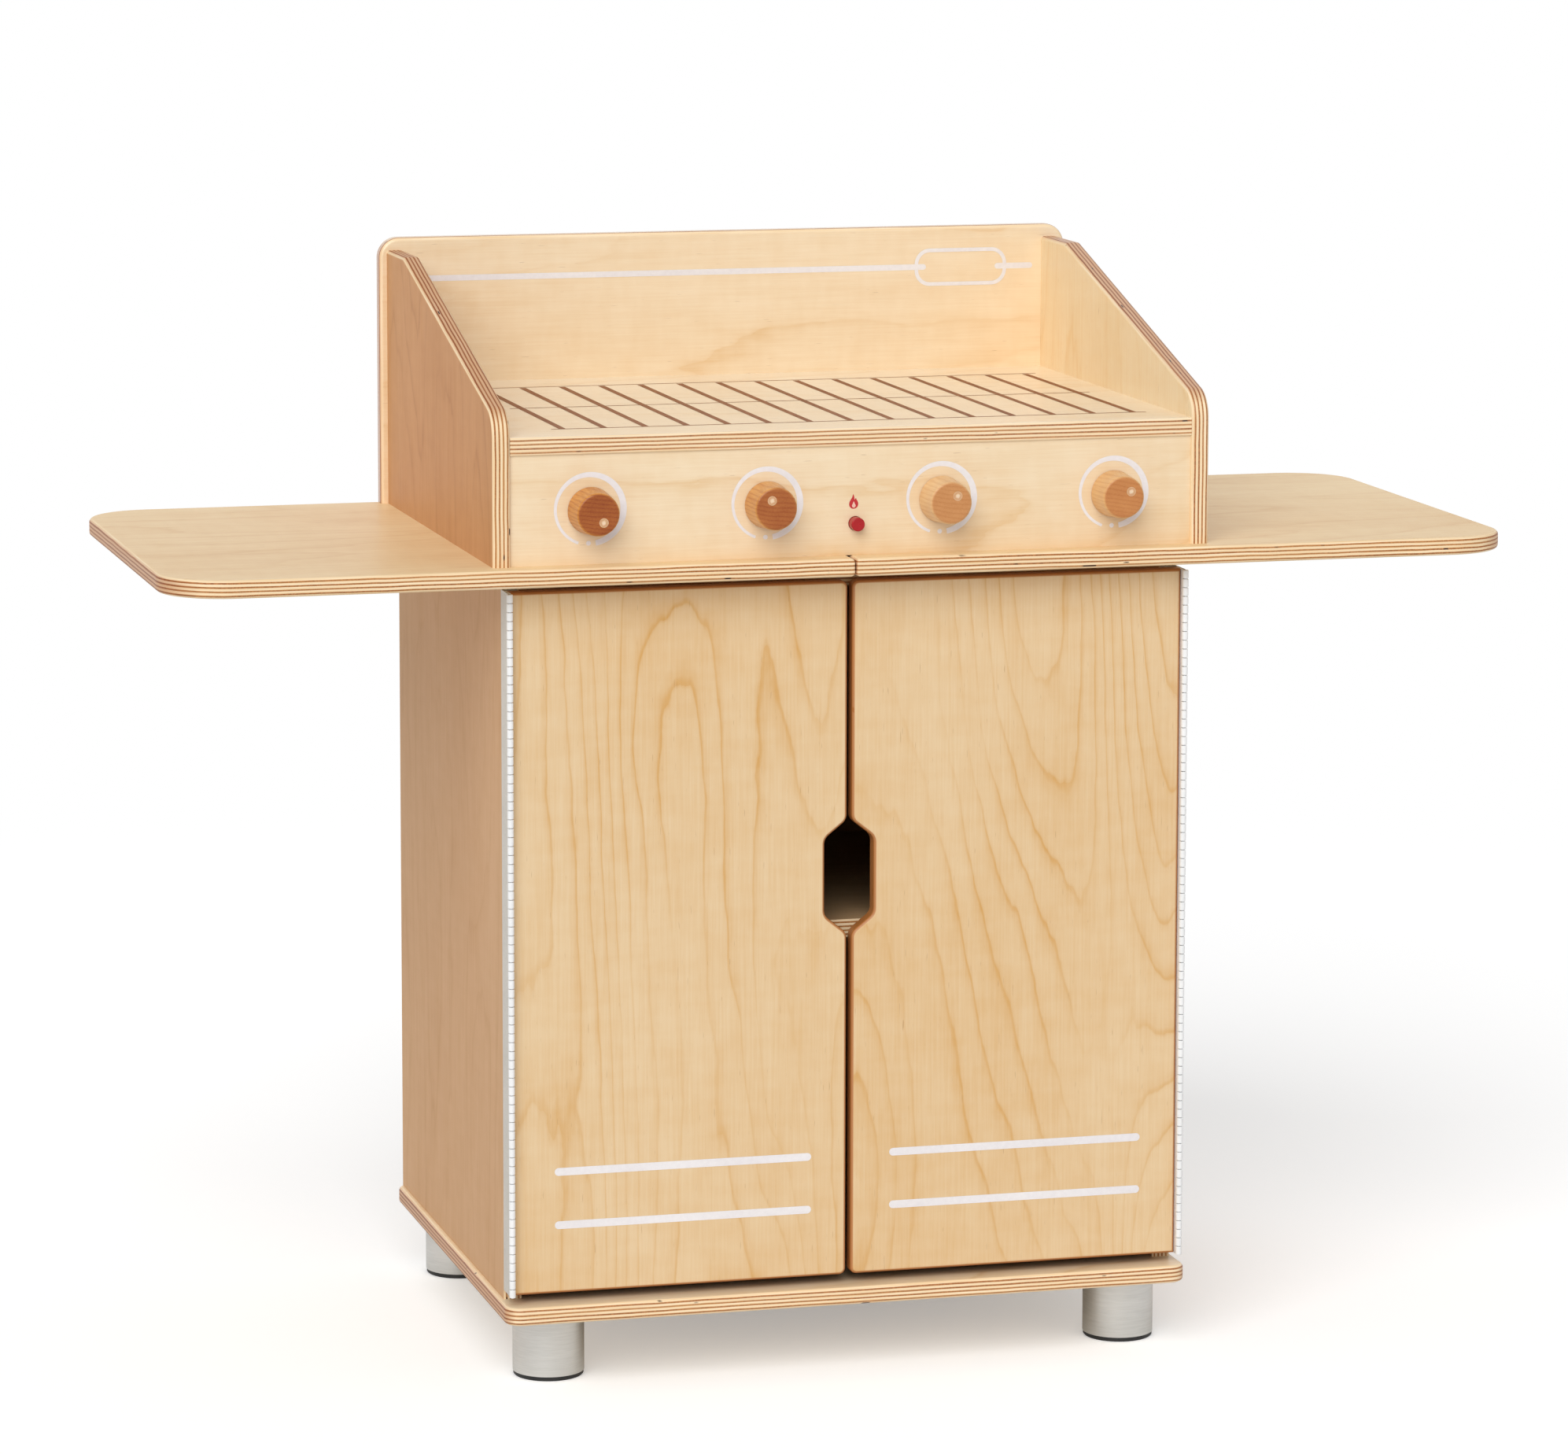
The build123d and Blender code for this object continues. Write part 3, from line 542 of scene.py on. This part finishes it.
def smooth_loop(points, steps=5):
    """A closed smooth curve through the points."""
    count = len(points)
    result = []
    for i in range(count):
        p0, p1, p2, p3 = (Vector(points[(i + k - 1) % count]) for k in range(4))
        for s in range(steps):
            t = s / steps
            result.append(tuple(
                0.5 * (2 * p1 + (p2 - p0) * t + (2 * p0 - 5 * p1 + 4 * p2 - p3) * t * t
                       + (3 * p1 - p0 - 3 * p2 + p3) * t ** 3)
            ))
    return result


FLAME_X, FLAME_Z = -0.8, 617.5
for name, shape, layers, material in (
    ("flame_print", flame_shape, 1, print_red),
    ("flame_drop_print", drop_shape, 2, print_pink),
):
    print_y = PANEL_FRONT - layers * PRINT_PROUD
    sheet = Sheet(lambda u, v: (u, print_y, v))
    sheet.polygon([(FLAME_X + u, FLAME_Z + v) for u, v in smooth_loop(shape)])
    sheet.make(name, material, "cabinet")


# White line and pill outline on the splash panel
LINE_WIDTH = 4.3
PILL_LEFT, PILL_RIGHT, PILL_LOW, PILL_HIGH = 145.9, 217.7, 736.6, 764.8
PILL_STROKE = 2.8
PILL_ROUND = 0.42


def pill(offset):
    """The pill's outline, moved inward by an offset."""
    radius = PILL_ROUND * (PILL_HIGH - PILL_LOW) - offset
    left, right = PILL_LEFT + offset + radius, PILL_RIGHT - offset - radius
    low, high = PILL_LOW + offset + radius, PILL_HIGH - offset - radius
    return (
        arc(right, high, radius, 0, 90) + arc(left, high, radius, 90, 180)
        + arc(left, low, radius, 180, 270) + arc(right, low, radius, 270, 360)
    )


line = Sheet(lambda u, v: (u, SPLASH_FRONT - PRINT_PROUD, v))
line.capsule(-244.6, 154.7, 751.0, LINE_WIDTH, round_start=False)
line.capsule(208.6, 238.3, 750.6, LINE_WIDTH)
line.make("line_splash", print_white, "cabinet")
outline = Sheet(lambda u, v: (u, SPLASH_FRONT - 2 * PRINT_PROUD, v))
outline.ribbon(pill(PILL_STROKE), pill(0.0), closed=True)
outline.make("pill_splash", print_white, "cabinet")


# Brown bars and thin cross lines printed on the grill deck
BAR_COUNT = 15
BAR_START, BAR_PITCH, BAR_HALF = -198.3, 29.6, 2.4
BAR_FRONT, BAR_BACK = -138, 118
CROSS_LEFT, CROSS_RIGHT, CROSS_HALF = -206.5, 225.5, 1.4
bars = Sheet(lambda u, v: (u, v, DECK_TOP + PRINT_PROUD))
for i in range(BAR_COUNT):
    x = BAR_START + BAR_PITCH * i
    bars.rectangle(x - BAR_HALF, x + BAR_HALF, BAR_FRONT, BAR_BACK)
bars.make("bars_deck", print_brown, "cabinet")
cross = Sheet(lambda u, v: (u, v, DECK_TOP + 0.5 * PRINT_PROUD))
for y in (-139, -9, 122):
    cross.rectangle(CROSS_LEFT, CROSS_RIGHT, y - CROSS_HALF, y + CROSS_HALF)
cross.make("cross_lines_deck", print_faint, "cabinet")


# ------------------------------------------------------------- long hinges


BOX_FACES = (
    (0, 2, 3, 1), (4, 5, 7, 6), (0, 1, 5, 4), (2, 6, 7, 3), (0, 4, 6, 2), (1, 3, 7, 5),
)


class Solid:
    """Boxes and short cylinders collected in one mesh."""

    def __init__(self):
        self.verts = []
        self.faces = []

    def box(self, low, high):
        first = len(self.verts)
        self.verts += [
            ((low, high)[i][0], (low, high)[j][1], (low, high)[k][2])
            for k in (0, 1) for j in (0, 1) for i in (0, 1)
        ]
        for face in BOX_FACES:
            self.faces.append([first + i for i in face])

    def knuckle(self, x, y, low, high, radius, bevel, count=20):
        """An upright barrel with eased rims."""
        first = len(self.verts)
        small = radius - bevel
        levels = ((low, small), (low + bevel, radius), (high - bevel, radius), (high, small))
        for z, r in levels:
            for i in range(count):
                turn = math.tau * i / count
                self.verts.append((x + r * math.cos(turn), y + r * math.sin(turn), z))
        for level in range(3):
            for i in range(count):
                j = (i + 1) % count
                self.faces.append([
                    first + level * count + i, first + level * count + j,
                    first + (level + 1) * count + j, first + (level + 1) * count + i,
                ])
        self.faces.append([first + i for i in reversed(range(count))])
        self.faces.append([first + 3 * count + i for i in range(count)])


PIN_X, PIN_Y = 244.15, -174.65
LEAF, LEAF_GAP = 0.9, 0.4
KNUCKLES = 79
KNUCKLE_RADIUS = 2.2
KNUCKLE_BEVEL = 0.3
KNUCKLE_GAP = 0.5
DOOR_LOW, DOOR_HIGH = 70.35, 565.55
FLANGE = 11.4
TONGUE_START = PIN_Y + 1.3
notch_y = PIN_Y + KNUCKLE_RADIUS + 0.3
pitch = (DOOR_HIGH - DOOR_LOW) / KNUCKLES
leaf_face_count = 2 * len(BOX_FACES)


def upright(solid, x_pair, y0, y1, z0=DOOR_LOW, z1=DOOR_HIGH):
    """A box between two places across the part, given in either order."""
    solid.box((min(x_pair), y0, z0), (max(x_pair), y1, z1))


for side, sign in (("left", -1), ("right", 1)):
    frame_leaf, door_leaf = Solid(), Solid()
    frame_x = (sign * CASE_HALF, sign * (CASE_HALF - LEAF))
    door_x = (sign * (CASE_HALF - LEAF - LEAF_GAP), sign * (CASE_HALF - 2 * LEAF - LEAF_GAP))
    flange_x = (frame_x[1], sign * (CASE_HALF - FLANGE))
    upright(frame_leaf, frame_x, notch_y, CASE_FRONT)
    upright(frame_leaf, flange_x, CASE_FRONT - LEAF, CASE_FRONT)
    upright(door_leaf, door_x, notch_y, DOOR_BACK - LEAF_GAP)
    for i in range(KNUCKLES):
        low = DOOR_LOW + pitch * i + KNUCKLE_GAP / 2
        high = DOOR_LOW + pitch * (i + 1) - KNUCKLE_GAP / 2
        leaf, ends = (frame_leaf, frame_x) if i % 2 == 0 else (door_leaf, door_x)
        leaf.knuckle(sign * PIN_X, PIN_Y, low, high, KNUCKLE_RADIUS, KNUCKLE_BEVEL)
        upright(leaf, ends, TONGUE_START, notch_y, low, high)
    made = piece(
        f"hinge_frame_{side}", frame_leaf.verts, frame_leaf.faces,
        hinge_white, "cabinet",
    )
    # The flat leaf faces take the greyer white, painted shade, and the knuckles stay white.
    made.data.materials.append(hinge_leaf_painted_shade)
    for polygon in made.data.polygons[:leaf_face_count]:
        polygon.material_index = 1
    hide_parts(f"frame_leaf_{side}")
    made = piece(
        f"hinge_door_{side}", door_leaf.verts, door_leaf.faces,
        hinge_white, f"door_{side}",
    )
    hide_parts(f"door_leaf_{side}")


# ------------------------------------------------------- stage and lighting

FLOOR_HALF = 12.0
FLOOR_GREY = 0.86
FLOOR_LIFT = 0.31
FADE_START, FADE_END = 0.95, 2.2
WORLD_DIFFUSE, WORLD_SEEN = 0.50, 1.0
KEY_TOWARD = Vector((-0.38, -0.72, 0.58))

mesh = bpy.data.meshes.new("floor")
mesh.from_pydata(
    [(-FLOOR_HALF, -FLOOR_HALF, 0), (FLOOR_HALF, -FLOOR_HALF, 0),
     (FLOOR_HALF, FLOOR_HALF, 0), (-FLOOR_HALF, FLOOR_HALF, 0)], [], [(0, 1, 2, 3)],
)
floor = bpy.data.objects.new("floor", mesh)
bpy.context.scene.collection.objects.link(floor)

# The floor keeps its shadow near the object and runs out into white further away
n = Nodes("floor_white")
path = n.tree.nodes.new("ShaderNodeLightPath").outputs
diffuse = n.add("ShaderNodeBsdfDiffuse", Color=(FLOOR_GREY, FLOOR_GREY, FLOOR_GREY, 1))
lift = n.math("MULTIPLY", path["Is Camera Ray"], FLOOR_LIFT)
glow = n.add("ShaderNodeEmission", Strength=lift)
near = n.tree.nodes.new("ShaderNodeAddShader")
n.feed(near.inputs[0], diffuse.outputs[0])
n.feed(near.inputs[1], glow.outputs[0])
far = n.add("ShaderNodeEmission", Strength=1.0)
length = n.tree.nodes.new("ShaderNodeVectorMath")
length.operation = "LENGTH"
n.feed(length.inputs[0], n.point)
fade = n.remap(length.outputs["Value"], FADE_START, FADE_END, 0.0, 1.0, True)
seen = n.math("MAXIMUM", path["Is Camera Ray"], path["Is Glossy Ray"])
mix = n.tree.nodes.new("ShaderNodeMixShader")
n.feed(mix.inputs[0], n.math("MULTIPLY", fade, seen))
n.feed(mix.inputs[1], near.outputs[0])
n.feed(mix.inputs[2], far.outputs[0])
n.feed(n.out.inputs[0], mix.outputs[0])
floor.data.materials.append(n.mat)

# White where it is seen directly, in a gloss or through a clear piece; softer as a light
world = bpy.data.worlds.new("studio")
bpy.context.scene.world = world
sky = Tree(world)
path = sky.tree.nodes.new("ShaderNodeLightPath").outputs
seen = sky.math("MAXIMUM", path["Is Camera Ray"], path["Is Glossy Ray"])
seen = sky.math("MAXIMUM", seen, path["Is Transmission Ray"])
strength = sky.remap(seen, 0.0, 1.0, WORLD_DIFFUSE, WORLD_SEEN)
background = sky.add("ShaderNodeBackground", Color=(1, 1, 1, 1), Strength=strength)
out = sky.tree.nodes.new("ShaderNodeOutputWorld")
sky.feed(out.inputs[0], background.outputs[0])

key = bpy.data.lights.new("key", "SUN")
key.energy = 1.95
key.angle = math.radians(46)
key_lamp = bpy.data.objects.new("key", key)
bpy.context.scene.collection.objects.link(key_lamp)
key_lamp.rotation_euler = KEY_TOWARD.to_track_quat("Z", "Y").to_euler()

# ------------------------------------------------------------------ camera

IMAGE_WIDTH = 1993
FOCAL_PIXELS = 7920.3
SENSOR = 36.0
ROLL = 0.0012
EYE = Vector((-1.1661, -4.3045, 1.1769))
ahead = Vector((0.25397, 0.95776, -0.13489)).normalized()
right = Vector((0.96660, -0.25631, 0.0)).normalized()

camera = bpy.data.cameras.new("camera")
camera.sensor_fit = "HORIZONTAL"
camera.sensor_width = SENSOR
camera.lens = SENSOR * FOCAL_PIXELS / IMAGE_WIDTH
camera.shift_x = 0.0192
camera.shift_y = -0.1174
camera.clip_end = 100.0
eye = bpy.data.objects.new("camera", camera)
bpy.context.scene.collection.objects.link(eye)
above = right.cross(ahead)
right, above = (
    math.cos(ROLL) * right + math.sin(ROLL) * above,
    math.cos(ROLL) * above - math.sin(ROLL) * right,
)
eye.matrix_world = Matrix((
    (right.x, above.x, -ahead.x, EYE.x),
    (right.y, above.y, -ahead.y, EYE.y),
    (right.z, above.z, -ahead.z, EYE.z),
    (0, 0, 0, 1),
))
bpy.context.scene.camera = eye

bpy.context.scene.view_settings.view_transform = "Standard"
